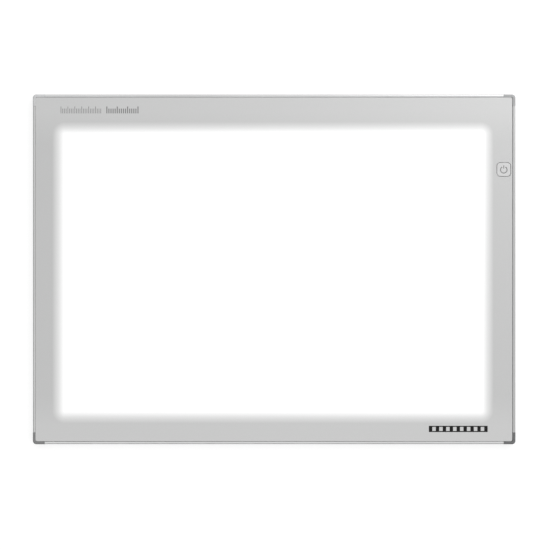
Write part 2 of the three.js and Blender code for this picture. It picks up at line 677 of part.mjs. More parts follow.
const lightBox = new THREE.Group();
lightBox.name = "light_box";
lightBox.add(
  frontPanel(),
  sheet("diffuser_sheet", DIFFUSER, FINISH.whiteFilm),
  sheet("light_guide_plate", GUIDE, FINISH.clearAcrylic),
  sheet("reflector_sheet", REFLECTOR, FINISH.whiteFilm),
  sheet("backing_foam", FOAM, FINISH.foam),
  backCover(),
  blankLabel(),
  ...footPlaces().map(rubberFoot),
  ...coverScrewPlaces().map(({ name, x, y }) => coverScrew(name, x, y)),
  ...CORNERS.map(({ name, toX, toY }) => corner(`corner_${name}`, toX, toY)),
  sideGroup("front", rail("front"), ...lightBar("front", guideShift)),
  sideGroup("rear", rail("rear"), ...lightBar("rear", -guideShift)),
  sideGroup("left", rail("left")),
  sideGroup(
    "right",
    rail("right", rightRailCuts()),
    panelTape(),
    keyAndSwitch(),
    controlBoard(),
    ...BOARD_SCREW.spots.map((x, i) => boardFixing(x, i + 1)),
    ...boardParts(),
    ...powerInlet(),
    ...ledLead("front", BOARD.from, -1, frontStrip, stripEnd),
    ...ledLead("rear", BOARD.to, 1, rearStrip, stripEnd),
    ...CLIP_SPOTS.map((x, i) => leadClip(x, i + 1)),
  ),
);

export default lightBox;
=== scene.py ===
# The looks of a slim edge-lit light box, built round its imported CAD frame.
# Metres, in the frame of the CAD model: +Z up, the front edge faces -Y.
import math

import bmesh
import bpy
from mathutils import Matrix, Vector


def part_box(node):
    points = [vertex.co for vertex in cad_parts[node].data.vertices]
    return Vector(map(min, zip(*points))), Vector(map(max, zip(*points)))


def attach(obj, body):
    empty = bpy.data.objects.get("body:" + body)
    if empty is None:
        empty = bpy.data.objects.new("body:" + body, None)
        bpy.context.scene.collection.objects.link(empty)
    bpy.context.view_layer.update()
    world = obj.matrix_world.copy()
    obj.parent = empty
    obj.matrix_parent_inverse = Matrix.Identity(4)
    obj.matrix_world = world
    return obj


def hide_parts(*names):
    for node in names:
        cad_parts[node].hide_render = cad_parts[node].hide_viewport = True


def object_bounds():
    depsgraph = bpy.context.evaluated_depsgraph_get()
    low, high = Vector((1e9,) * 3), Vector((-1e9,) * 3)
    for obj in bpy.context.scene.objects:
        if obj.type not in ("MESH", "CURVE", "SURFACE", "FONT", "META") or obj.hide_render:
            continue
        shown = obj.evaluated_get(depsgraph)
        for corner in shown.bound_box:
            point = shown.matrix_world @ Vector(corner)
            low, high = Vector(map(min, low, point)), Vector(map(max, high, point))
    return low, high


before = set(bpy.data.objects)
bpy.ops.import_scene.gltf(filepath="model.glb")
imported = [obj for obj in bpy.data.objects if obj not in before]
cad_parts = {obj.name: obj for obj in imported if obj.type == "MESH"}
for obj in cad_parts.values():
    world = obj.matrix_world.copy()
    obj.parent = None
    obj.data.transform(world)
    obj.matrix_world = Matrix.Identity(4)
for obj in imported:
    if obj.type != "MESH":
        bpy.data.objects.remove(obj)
cad_low, cad_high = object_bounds()

MM = 0.001
QUARTER = math.radians(90)
PAD = "pad"
KEY_BODY = "key"

# ---- Smoothness ----
ARC_STEPS = 10  # in each rounded corner of an outline
EDGE_STEPS = 5  # in each rounded edge of a flat piece
ROUND_SIDES = 48
SHARP_ANGLE = math.radians(34)  # faces that meet at less than this are shaded as one
SOFTEN = {"angle": math.radians(50), "segments": 2}  # which edges soften() rounds, and how finely
FACE_WEIGHT = 100  # how much large faces count in the shading of their edges
OVERSHOOT = 1 * MM  # how far a cutting tool runs past what it cuts
TINY = 0.01 * MM  # a gap, overlap or radius that is too small to see

# ---- Frame ----
FRAME_EDGE = 2 * MM
OUTLINE_RADIUS = 5 * MM
RIM_INSET = 4 * MM  # inner face of the rim, measured from the outside of the pad
RIM_ROUND = 0.8 * MM
RAIL_INNER = 6 * MM
CHAMBER = {"near": 1.9 * MM, "far": 4.6 * MM, "low": 4.4 * MM, "high": 11.2 * MM}
SHELF = {"reach": 13 * MM, "low": 11.4 * MM, "high": 12.6 * MM}
FLANGE = {"low": 3 * MM, "high": 4.2 * MM}
COVER_LIP = 3 * MM
FRAME_FINE_EDGE = 0.12 * MM
KEY_NOTCH = {"margin": 1.5 * MM, "clear": 0.2 * MM}
CORNER_ARM = 17 * MM
CORNER_WALL = 6 * MM
CORNER_ROOF = 11.2 * MM
TONGUE = {"root": 15 * MM, "end": 39 * MM, "clear": 0.3 * MM}
BOSS = {"radius": 3.3 * MM, "bore": 1.5 * MM, "high": 11.9 * MM, "bore_high": 10 * MM}
SCREW_INSET = 9.5 * MM
PANEL_POCKET_RADIUS = 2.5 * MM
COVER_POCKET_RADIUS = 3 * MM
# Each side: the quarter turns from the front, and how light its rail is made: a painted shade, the same
# aluminium lighter or darker on each side to stand in for how the light falls there.
SIDES_WITH_PAINTED_SHADE = {"front": (0, 0.48), "right": (1, 0.37), "rear": (2, 0.48), "left": (3, 0.42)}
# Each corner: its way from the middle in x and in y, and how light it is made: a painted shade, the one
# corner plastic lighter or darker at each corner to stand in for how the light falls there.
CORNERS_WITH_PAINTED_SHADE = {
    "front_left": (-1, -1, 0.14),
    "front_right": (1, -1, 0.09),
    "rear_left": (-1, 1, 0.42),
    "rear_right": (1, 1, 0.24),
}

# ---- Front panel ----
PANEL_EDGE = 0.2 * MM
PANEL_RADIUS = 2.5 * MM
PANEL_SHIFT = Vector((-0.4, 0, 0)) * MM  # the sheet lies a little to the left in its rim
PRINT_HEIGHT = 0.03 * MM
GLOW_INSET_LOW = Vector((18.6, 21.0, 0)) * MM  # the fully lit window, inside the light guide's edges
GLOW_INSET_HIGH = Vector((19.3, 20.3, 0)) * MM
GLOW_FADE = 18.5 * MM  # from the fully lit window out to the plain border
GLOW_CORE_FADE = 60 * MM  # from there in, to where the light is at its strongest
PRINT_STOPS = [(0, 0), (0.5, 0.42), (1, 1)]  # share of the fade, and share of bare opal there
LIGHT_STOPS = [(0, 0), (0.5, 0.05), (1, 0.12), (1.3, 0.4)]  # share of the fade, and light there
LIGHT_CORE = 0.62
STRIP_LEAK = 0.04  # light that shows through the print above the LED strips
STRIP_LEAK_FADE = 45 * MM

# ---- Printed marks ----
MARK_INSET = 36 * MM
REAR_MARK_DEPTH = 19.7 * MM
FRONT_MARK_DEPTH = 17.9 * MM
SCALE_BAR = {"count": 17, "step": 5 * MM, "height": 9 * MM, "line": 1.5 * MM}
TICKS = {
    "fine": {"count": 24, "pitch": 2.5 * MM, "width": 0.8 * MM, "long_every": 4},
    "bold": {"count": 16, "pitch": 3 * MM, "width": 1.5 * MM, "long_every": 5},
}
TICK_HEIGHT = 7 * MM
TICK_EXTRA = 3 * MM
TICK_GROUP_GAP = 6 * MM
PRINT_RADIUS = 0.12 * MM  # at the corners of each mark

# ---- Power key ----
KEY_CAP = 19.4 * MM
KEY_RADIUS = 4.5 * MM
KEY_EDGE = 0.45 * MM
KEY_GAP = 0.6 * MM
KEY_FLANGE_HIGH = 12.85 * MM
KEY_FLANGE_LOW = 11.6 * MM
KEY_FLANGE_EDGE = 0.2 * MM
KEY_FLANGE_RADIUS = 2 * MM
KEY_BOSS_RADIUS = 2.5 * MM
SIGN = {"radius": 4.7 * MM, "line": 1.2 * MM, "depth": 0.25 * MM, "sunk": 0.1 * MM}
SIGN_GAP = 0.52  # half of the ring's opening, in radians
SIGN_MIDDLE = -0.5 * MM  # of the ring, towards the rear from the key's middle
SIGN_BAR = {"start": 1.6 * MM, "end": 6.4 * MM}  # measured from the ring's middle

# ---- Underside ----
COVER_EDGE = 0.3 * MM
COVER_RADIUS = 3 * MM
FOOT_CLEAR = 0.3 * MM
FOOT_RECESS = 1.95 * MM
FOOT_EDGE = 0.5 * MM
FOOT_GROOVE = {"radius": 4.6 * MM, "half": 0.35 * MM, "depth": 0.25 * MM}
SCREW_CLEAR = 0.35 * MM
SCREW_NECK = 3.1 * MM
SCREW_RIM = 0.2 * MM
SCREW_SHANK = 1.3 * MM
SCREW_EDGE = 0.12 * MM
SCREW_TURN = math.radians(37)  # from one screw's slots to the next one's
THREAD_DEPTH = 0.22 * MM
THREAD_PITCH = 0.7 * MM
THREAD_HALF = 0.2 * THREAD_PITCH  # half of a groove's width
CROSS = {"reach": 1.55 * MM, "width": 0.52 * MM, "depth": 1.05 * MM, "floor_reach": 0.5 * MM}
CROSS_PAST = 0.2 * MM  # how far the slots' cutting tool runs past the head
LABEL_RADIUS = 1.5 * MM
LABEL_EDGE = 0.03 * MM
LABEL_CLEAR = 0.3 * MM
LABEL_RECESS = 1.8 * MM
LABEL_LINE = {"inset": 2.2 * MM, "half": 0.2 * MM}

# ---- Power inlet ----
RECESS = {"radius": 4.2 * MM, "depth": 4.7 * MM, "edge": 0.4 * MM, "through": 3.55 * MM}
JACK_FACE = 6.4 * MM
JACK_WIDTH = 8.5 * MM
JACK_NOSE = {"radius": 3.25 * MM, "lip": 0.12 * MM}
JACK_BORE = {"radius": 2.85 * MM, "end": 16.3 * MM}
JACK_PIN_HOLE = 1.35 * MM
JACK_EARS = {"near": 11 * MM, "far": 18 * MM, "low": 6.95 * MM, "high": 7.75 * MM}
JACK_SLOT = {"near": 7 * MM, "far": 21.4 * MM, "width": 2.2 * MM, "high": 6 * MM}
JACK_EDGE = 0.25 * MM
PIN_TIP = 0.45 * MM

# ---- Materials ----
NOISE_DETAIL = 3.0
FINE_DETAIL = 4.0
ROUGH_DETAIL = 5.0
NOISE_RANGE = (0.3, 0.7)  # where nearly all of a noise's values lie
GLOSS_SHARE = 3  # patches of gloss are this many times finer than those of colour
GRAIN = 0.02  # positions along a rail are scaled by this, which draws its grain out
WEAR_PATCH = 3 * MM
WEAR_RANGE = (0.4, 0.65)  # noise values where an edge is whole and where it is fully worn
WEAR_SAMPLES = 4
# Cosines between the real normal and the rounded one, where wear starts and where it is full.
WEAR_COSINES = {"From Min": 0.995, "From Max": 0.85}
WEAR_LIGHTEST = 0.7  # how light worn plastic gets at most
TRACKS = {"pitch": 2.4 * MM, "width": 0.24}  # the width is a share of the pitch, as are the dots' radii
LED_PITCH = 15 * MM
LED_WAVE = 0.9  # a wave value past this is an LED
WAVE_PERIOD = 0.314  # of Blender's band waves at scale 1
GUIDE_DOTS = {"pitch": 2 * MM, "unevenness": 0.1, "radius": 0.3}
ACRYLIC_IOR = 1.49
FILM_IOR = 1.5
RAIL_TINT = (0.995, 1.0, 1.0)
CORNER_TINT = (0.99, 1.0, 1.01)
DARK_PATCHES = {"rail": 0.9, "corner": 0.94}  # how light they are, as a share of the piece's own level
LIGHT_PATCHES = {"rail": 1, "corner": 1.06}
WORN_CORNER = 1.6  # as a share of the corner's level, so the worn edges carry its painted shade too
# The Mix node's sockets for colours.
MIX_FACTOR, MIX_FIRST, MIX_SECOND, MIX_RESULT = 0, 6, 7, 2

# ---- Studio ----
CAMERA_LENS = 150.0
CAMERA_SENSOR = 36.0
CAMERA_REACH = 200.0
VIEW_WIDTH = 0.795  # at the height of the pad's top
AIM = Vector((1.2, -8.2, 0)) * MM  # the middle of the view, from the pad's middle
FLOOR_HALF = 40.0
FLOOR_GLOW = 0.69  # evens out the object's shadow
WORLD_SIDE = (0.22, 0.35, 0.91)  # the brighter side of the surroundings
WORLD_CUT = -0.3  # how far round from that side they stay lit, as a cosine
WORLD_DIM = 0.02
WORLD_BRIGHT = 1.66
SOFT_LIGHTS = {
    "key_light": {"at": (0.55, 0.6, 0.45), "width": 0.8, "depth": 0.6, "power": 3.4},
    "fill_light": {"at": (-0.1, -0.75, 0.8), "width": 1.2, "depth": 0.4, "power": 1.3},
}


# ---- Mesh building ----


def quarter_turn(steps):
    """The angles of a quarter turn in equal steps."""
    return [QUARTER * i / steps for i in range(steps + 1)]


def rounding(edge):
    """(distance from the side, height) pairs up a rounded lower edge."""
    return [(edge * (1 - math.sin(a)), edge * (1 - math.cos(a))) for a in quarter_turn(EDGE_STEPS)]


def rectangle(low, high):
    return [(low[0], low[1]), (high[0], low[1]), (high[0], high[1]), (low[0], high[1])]


def rounded(low, high, radius):
    """A rounded rectangle: a function of an inset, which gives its points anticlockwise."""

    def points(inset):
        r = max(radius - inset, TINY)
        left, front = low[0] + inset + r, low[1] + inset + r
        right, rear = high[0] - inset - r, high[1] - inset - r
        found = []
        for corner, (x, y) in enumerate([(right, rear), (left, rear), (left, front), (right, front)]):
            for step in range(ARC_STEPS + 1):
                angle = QUARTER * (corner + step / ARC_STEPS)
                found.append((x + r * math.cos(angle), y + r * math.sin(angle)))
        return found

    return points


def around(x, y, width, depth, radius):
    """A rounded rectangle about its middle."""
    return rounded((x - width / 2, y - depth / 2), (x + width / 2, y + depth / 2), radius)


def fixed(points):
    """An outline that takes no inset."""
    return lambda inset: points


def ring(points, z):
    return [Vector((x, y, z)) for x, y in points]


def circle(radius):
    turns = [2 * math.pi * i / ROUND_SIDES for i in range(ROUND_SIDES)]
    return [(radius * math.cos(a), radius * math.sin(a)) for a in turns]


def skin(bm, rings):
    """Joins rings of equally many points with faces. Returns the first and last rings' vertices."""
    loops = [[bm.verts.new(point) for point in points] for points in rings]
    for a, b in zip(loops, loops[1:]):
        for i in range(len(a)):
            bm.faces.new((a[i - 1], a[i], b[i], b[i - 1]))
    return loops[0], loops[-1]


def edge_profile(low, high, edge):
    """(inset, height) pairs up the side of a flat piece whose edges are rounded."""
    if not edge:
        return [(0, low), (0, high)]
    below = [(inset, low + up) for inset, up in rounding(edge)]
    above = [(up, high - inset) for inset, up in rounding(edge)]
    return below + above


def plate(shape, low, high, edge=0.0, holes=()):
    """A flat solid between two heights, with any holes right through it."""
    profile = edge_profile(low, high, edge)
    bm = bmesh.new()
    rims = [skin(bm, [ring(shape(inset), z) for inset, z in profile])]
    rims += [skin(bm, [ring(hole(-inset), z) for inset, z in profile]) for hole in holes]
    for end in (0, 1):
        loops = [rim[end] for rim in rims]
        edges = [bm.edges.get((loop[i - 1], loop[i])) for loop in loops for i in range(len(loop))]
        bmesh.ops.triangle_fill(bm, use_beauty=True, edges=edges)
    bmesh.ops.recalc_face_normals(bm, faces=bm.faces)
    return bm


def stacked(rings):
    """A solid through rings of equally many points. Both its ends are flat."""
    bm = bmesh.new()
    for loop in skin(bm, rings):
        bm.faces.new(loop)
    bmesh.ops.recalc_face_normals(bm, faces=bm.faces)
    return bm


def turned(profile):
    """A solid turned about the z axis from (radius, height) pairs."""
    return stacked([ring(circle(radius), z) for radius, z in profile])


def block(low, high):
    """A sharp-edged cutting tool between two corners."""
    return plate(fixed(rectangle(low, high)), low[2], high[2])


def joined(parts):
    """Several meshes that don't touch, as one."""
    whole = bmesh.new()
    for part in parts:
        passing = bpy.data.meshes.new("passing")
        part.to_mesh(passing)
        part.free()
        whole.from_mesh(passing)
        bpy.data.meshes.remove(passing)
    return whole


def copied(made):
    """A piece's mesh, to make another piece from."""
    bm = bmesh.new()
    bm.from_mesh(made.data)
    return bm


def moved(bm, matrix):
    bm.transform(matrix)
    if matrix.determinant() < 0:
        bmesh.ops.reverse_faces(bm, faces=bm.faces)
    return bm


def placed(bm, x, y):
    return moved(bm, Matrix.Translation((x, y, 0)))


def turn_about_z(angle):
    return Matrix.Rotation(angle, 4, "Z")


def piece(name, bm):
    """The mesh as an object of the scene."""
    mesh = bpy.data.meshes.new(name)
    bm.to_mesh(mesh)
    bm.free()
    made = bpy.data.objects.new(name, mesh)
    bpy.context.scene.collection.objects.link(made)
    return made


def settle(made):
    """Puts an object's modifiers into its mesh."""
    bpy.context.view_layer.update()
    graph = bpy.context.evaluated_depsgraph_get()
    before = made.data
    made.data = bpy.data.meshes.new_from_object(made.evaluated_get(graph))
    made.modifiers.clear()
    made.data.name = made.name
    bpy.data.meshes.remove(before)


def combine(made, operation, *tools):
    """Cuts the tools from a piece, or joins them to it, or keeps what lies inside them."""
    for bm in tools:
        tool = piece("tool", bm)
        modifier = made.modifiers.new("combine", "BOOLEAN")
        modifier.operation = operation
        modifier.solver = "EXACT"
        modifier.object = tool
        settle(made)
        bpy.data.meshes.remove(tool.data)
    return made


def soften(made, width):
    """Rounds a piece's sharp edges."""
    modifier = made.modifiers.new("soften", "BEVEL")
    modifier.width = width
    modifier.segments = SOFTEN["segments"]
    modifier.limit_method = "ANGLE"
    modifier.angle_limit = SOFTEN["angle"]
    modifier.use_clamp_overlap = True
    settle(made)
    return made


def finish_piece(made, material, replaces=(), body=PAD):
    """Shades a piece, gives it its material, attaches it to its body and hides the CAD parts it replaces."""
    made.data.materials.clear()
    made.data.materials.append(material)
    made.data.shade_smooth()
    made.data.set_sharp_from_angle(angle=SHARP_ANGLE)
    weighted = made.modifiers.new("weighted", "WEIGHTED_NORMAL")
    weighted.keep_sharp = True
    weighted.weight = FACE_WEIGHT
    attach(made, body)
    if replaces:
        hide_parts(*replaces)


# ---- Material building ----


def node(tree, kind, inputs=None, **settings):
    """A node with its settings, and with values or links on its inputs."""
    made = tree.nodes.new("ShaderNode" + kind)
    for key, value in settings.items():
        setattr(made, key, value)
    for key, value in (inputs or {}).items():
        if isinstance(value, bpy.types.NodeSocket):
            tree.links.new(value, made.inputs[key])
        else:
            made.inputs[key].default_value = value
    return made


def grey(level, tint=(1.0, 1.0, 1.0)):
    return (level * tint[0], level * tint[1], level * tint[2], 1.0)


def blank_material(name, **constants):
    """A material with one Principled shader, whose constant values sit on its own sockets."""
    material = bpy.data.materials.new(name)
    material.use_nodes = True
    tree = material.node_tree
    shader = tree.nodes["Principled BSDF"]
    for key, value in constants.items():
        shader.inputs[key.replace("_", " ")].default_value = value
    return material, tree, shader


def paint(tree, shader, colour, gloss):
    """Gives the shader its colour and its roughness."""
    tree.links.new(colour, shader.inputs["Base Color"])
    tree.links.new(gloss, shader.inputs["Roughness"])


def place(tree, stretch=(1.0, 1.0, 1.0)):
    """Positions on the object in metres, stretched to draw a grain out."""
    coordinates = node(tree, "TexCoord")
    return node(tree, "Mapping", {"Vector": coordinates.outputs["Object"], "Scale": stretch}).outputs[0]


def noise(tree, vector, size, detail=NOISE_DETAIL):
    """Noise whose features are about size metres across."""
    return node(tree, "TexNoise", {"Vector": vector, "Scale": 1 / size, "Detail": detail}).outputs["Fac"]


def spread(tree, value, low, high, start=NOISE_RANGE[0], end=NOISE_RANGE[1]):
    """A value that runs from start to end, spread over the range from low to high."""
    inputs = {"Value": value, "From Min": start, "From Max": end, "To Min": low, "To Max": high}
    return node(tree, "MapRange", inputs).outputs["Result"]


def mixed(tree, factor, a, b):
    """The colour a where the factor is 0, and b where it is 1."""
    inputs = {MIX_FACTOR: factor, MIX_FIRST: a, MIX_SECOND: b}
    return node(tree, "Mix", inputs, data_type="RGBA").outputs[MIX_RESULT]


def calculate(tree, operation, *values):
    return node(tree, "Math", dict(enumerate(values)), operation=operation).outputs["Value"]


def calculate_vector(tree, operation, *values):
    """As calculate, with vectors. A length or a dot product is one number."""
    output = "Value" if operation in ("LENGTH", "DOT_PRODUCT") else "Vector"
    return node(tree, "VectorMath", dict(enumerate(values)), operation=operation).outputs[output]


def past_sides(tree, vector, low, high):
    """How far positions lie past the nearer side of a box along each axis, and less than 0 inside it."""
    middle, half = (low + high) / 2, (high - low) / 2
    offset = calculate_vector(tree, "SUBTRACT", vector, middle)
    return calculate_vector(tree, "SUBTRACT", calculate_vector(tree, "ABSOLUTE", offset), half)


def larger_of_xy(tree, vector):
    """The larger of a vector's first two numbers."""
    parts = node(tree, "SeparateXYZ", {"Vector": vector})
    return calculate(tree, "MAXIMUM", parts.outputs["X"], parts.outputs["Y"])


def ramp(tree, factor, stops):
    """A colour ramp through (place, colour) stops."""
    made = node(tree, "ValToRGB", {"Fac": factor})
    elements = made.color_ramp.elements
    while len(elements) < len(stops):
        elements.new(1.0)
    for element, (where, colour) in zip(elements, stops):
        element.position = where
        element.color = colour
    return made.outputs["Color"]


def raised(tree, shader, heights):
    """Bumps on the shader's surface, from (height, depth in metres) pairs."""
    normal = None
    for height, depth in heights:
        bump = node(tree, "Bump", {"Height": height, "Distance": depth, "Strength": 1.0})
        if normal:
            tree.links.new(normal, bump.inputs["Normal"])
        normal = bump.outputs["Normal"]
    tree.links.new(normal, shader.inputs["Normal"])


def edges_of(tree, radius, break_up):
    """1 along a piece's edges and 0 on its faces, broken up by a noise value."""
    soft = node(tree, "Bevel", {"Radius": radius}, samples=WEAR_SAMPLES).outputs["Normal"]
    sharp = node(tree, "NewGeometry").outputs["Normal"]
    facing = calculate_vector(tree, "DOT_PRODUCT", soft, sharp)
    edge = node(tree, "MapRange", {"Value": facing, **WEAR_COSINES}).outputs["Result"]
    return calculate(tree, "MULTIPLY", edge, break_up)


def surface(name, light, dark, rough, bumps, patch, stretch=(1, 1, 1), wear=None, **constants):
    """A finish with patches of two close colours and an uneven gloss.

    rough is the range of its roughness, bumps are (size, depth) pairs from coarse to fine, patch is the
    patches' size, and wear is the (colour, width) of what shows along worn edges."""
    material, tree, shader = blank_material(name, **constants)
    vector = place(tree, stretch)
    colour = mixed(tree, spread(tree, noise(tree, vector, patch), 0, 1), dark, light)
    if wear:
        worn, width = wear
        broken = spread(tree, noise(tree, place(tree), WEAR_PATCH, ROUGH_DETAIL), 0, 1, *WEAR_RANGE)
        colour = mixed(tree, edges_of(tree, width, broken), colour, worn)
    paint(tree, shader, colour, spread(tree, noise(tree, vector, patch / GLOSS_SHARE), *rough))
    details = [NOISE_DETAIL] * (len(bumps) - 1) + [FINE_DETAIL]
    heights = [(noise(tree, vector, size, fine), depth) for (size, depth), fine in zip(bumps, details)]
    raised(tree, shader, heights)
    return material


# ---- Materials ----


def glow_factor(tree):
    """0 on the plain border, rising through the fade and on towards the middle of the lit window."""
    low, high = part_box("light_guide_plate")
    low, high = low + GLOW_INSET_LOW, high - GLOW_INSET_HIGH
    low.z = high.z = 0
    flat = calculate_vector(tree, "MULTIPLY", place(tree), (1, 1, 0))
    past = past_sides(tree, flat, low, high)
    outside = calculate_vector(tree, "LENGTH", calculate_vector(tree, "MAXIMUM", past, (0, 0, 0)))
    inside = calculate(tree, "MINIMUM", larger_of_xy(tree, past), 0)
    distance = calculate(tree, "ADD", outside, inside)
    return spread(tree, distance, 0, 1, GLOW_FADE, -GLOW_CORE_FADE)


def panel_material():
    """Opal acrylic, printed silver-grey round the edge, with the print fading out over the lit window."""
    material, tree, shader = blank_material("front_panel", Emission_Strength=1.0, IOR=ACRYLIC_IOR)
    vector = place(tree)
    factor = glow_factor(tree)
    edge = GLOW_FADE / (GLOW_FADE + GLOW_CORE_FADE)
    flake = spread(tree, noise(tree, vector, size=0.35 * MM, detail=2.0), 0, 1)
    silver = mixed(tree, flake, grey(0.36), grey(0.39, (0.995, 1.0, 0.998)))
    opal = grey(0.72)
    bare = ramp(tree, factor, [(edge * share, grey(level)) for share, level in PRINT_STOPS])
    gloss = spread(tree, noise(tree, vector, 30 * MM, ROUGH_DETAIL), low=0.34, high=0.42)
    paint(tree, shader, mixed(tree, bare, silver, opal), gloss)
    stops = [(edge * share, grey(level)) for share, level in LIGHT_STOPS] + [(1, grey(LIGHT_CORE))]
    strip = -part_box("led_strip_front")[0].y
    away = calculate(tree, "ABSOLUTE", node(tree, "SeparateXYZ", {"Vector": vector}).outputs["Y"])
    leak = spread(tree, away, 0, STRIP_LEAK, strip - STRIP_LEAK_FADE, strip)
    lit = calculate_vector(tree, "MAXIMUM", ramp(tree, factor, stops), leak)
    tree.links.new(lit, shader.inputs["Emission Color"])
    wave = noise(tree, vector, size=60 * MM, detail=1.0)
    satin = noise(tree, vector, size=0.25 * MM)
    raised(tree, shader, [(wave, 0.02 * MM), (satin, 0.004 * MM)])
    return material


def rail_material(side, level):
    """Anodised aluminium, its drawing lines running along the rail. Its level is a painted shade: the same
    aluminium lighter or darker on each side, standing in for how the light falls there.
    """
    return surface(
        f"rail_{side}",
        light=grey(LIGHT_PATCHES["rail"] * level, RAIL_TINT),
        dark=grey(DARK_PATCHES["rail"] * level, RAIL_TINT),
        rough=(0.30, 0.42),
        bumps=[(1.2 * MM, 0.004 * MM), (0.12 * MM, 0.003 * MM)],
        patch=4 * MM,
        stretch=(GRAIN, 1, 1) if side in ("front", "rear") else (1, GRAIN, 1),
        wear=(grey(0.78), 0.5 * MM),
        Metallic=0.9,
    )


def corner_material(name, level):
    """Moulded plastic with a spark-eroded grain. Its level is a painted shade: the one plastic lighter or
    darker at each corner, standing in for how the light falls there.
    """
    return surface(
        name,
        light=grey(LIGHT_PATCHES["corner"] * level, CORNER_TINT),
        dark=grey(DARK_PATCHES["corner"] * level, CORNER_TINT),
        rough=(0.42, 0.56),
        bumps=[(1.2 * MM, 0.02 * MM), (0.35 * MM, 0.06 * MM)],
        patch=5 * MM,
        wear=(grey(min(WORN_CORNER * level, WEAR_LIGHTEST)), 0.4 * MM),
    )


def label_material():
    """A blank film label with a printed border line."""
    material, tree, shader = blank_material("label", IOR=FILM_IOR)
    vector = place(tree)
    depth = larger_of_xy(tree, past_sides(tree, vector, *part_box("blank_label")))
    off_line = calculate(tree, "ABSOLUTE", calculate(tree, "ADD", depth, LABEL_LINE["inset"]))
    line = calculate(tree, "LESS_THAN", off_line, LABEL_LINE["half"])
    fibre = spread(tree, noise(tree, vector, 0.6 * MM, ROUGH_DETAIL), 0, 1)
    film = mixed(tree, fibre, grey(0.62), grey(0.70))
    gloss = spread(tree, noise(tree, vector, size=8 * MM), low=0.35, high=0.5)
    paint(tree, shader, mixed(tree, line, film, grey(0.16)), gloss)
    raised(tree, shader, [(noise(tree, vector, 0.5 * MM), 0.006 * MM)])
    return material


def board_material():
    """Green solder mask over a pattern of copper tracks."""
    material, tree, shader = blank_material("circuit_board", IOR=FILM_IOR)
    vector = place(tree)
    inputs = {"Vector": vector, "Scale": 1 / TRACKS["pitch"]}
    cells = node(tree, "TexVoronoi", inputs, distance="MANHATTAN")
    track = calculate(tree, "LESS_THAN", cells.outputs["Distance"], TRACKS["width"])
    dark, light, over_track = (0.010, 0.11, 0.04), (0.016, 0.16, 0.06), (0.03, 0.26, 0.10)
    mask = mixed(tree, noise(tree, vector, 6 * MM), grey(1, dark), grey(1, light))
    gloss = spread(tree, noise(tree, vector, size=2 * MM), low=0.28, high=0.42)
    paint(tree, shader, mixed(tree, track, mask, grey(1, over_track)), gloss)
    raised(tree, shader, [(track, 0.03 * MM), (noise(tree, vector, 0.3 * MM), 0.01 * MM)])
    return material


def strip_material():
    """White solder mask, with bands of the LEDs' yellow phosphor at their pitch."""
    material, tree, shader = blank_material("led_strip", IOR=FILM_IOR)
    vector = place(tree)
    inputs = {"Vector": vector, "Scale": WAVE_PERIOD / LED_PITCH}
    wave = node(tree, "TexWave", inputs, bands_direction="X").outputs["Fac"]
    phosphor = calculate(tree, "GREATER_THAN", wave, LED_WAVE)
    white = mixed(tree, noise(tree, vector, 4 * MM), grey(0.78), grey(0.86))
    gloss = spread(tree, noise(tree, vector, size=1 * MM), low=0.35, high=0.55)
    paint(tree, shader, mixed(tree, phosphor, white, grey(1, (0.86, 0.66, 0.16))), gloss)
    raised(tree, shader, [(noise(tree, vector, 0.3 * MM), 0.01 * MM)])
    return material


def guide_material():
    """Clear acrylic with the fine dots that let its light out."""
    material, tree, shader = blank_material("light_guide", IOR=ACRYLIC_IOR, Transmission_Weight=0.6)
    vector = place(tree, (1, 1, 0))
    pitch, unevenness, radius = GUIDE_DOTS.values()
    inputs = {"Vector": vector, "Scale": 1 / pitch, "Randomness": unevenness}
    cells = node(tree, "TexVoronoi", inputs)
    dot = calculate(tree, "LESS_THAN", cells.outputs["Distance"], radius)
    clear = mixed(tree, noise(tree, vector, 50 * MM), grey(0.82, (0.95, 1, 1)), grey(0.88, (0.96, 1, 1)))
    gloss = spread(tree, dot, low=0.08, high=0.6, start=0, end=1)
    paint(tree, shader, mixed(tree, dot, clear, grey(0.95)), gloss)
    raised(tree, shader, [(dot, 0.02 * MM)])
    return material


def floor_material():
    """A plain pale floor that glows a little."""
    constants = {"Emission_Color": grey(1), "Emission_Strength": FLOOR_GLOW}
    material, tree, shader = blank_material("studio_floor", **constants)
    patch = noise(tree, place(tree), size=0.4, detail=FINE_DETAIL)
    gloss = spread(tree, patch, low=0.75, high=0.85)
    paint(tree, shader, mixed(tree, patch, grey(0.26), grey(0.30)), gloss)
    return material


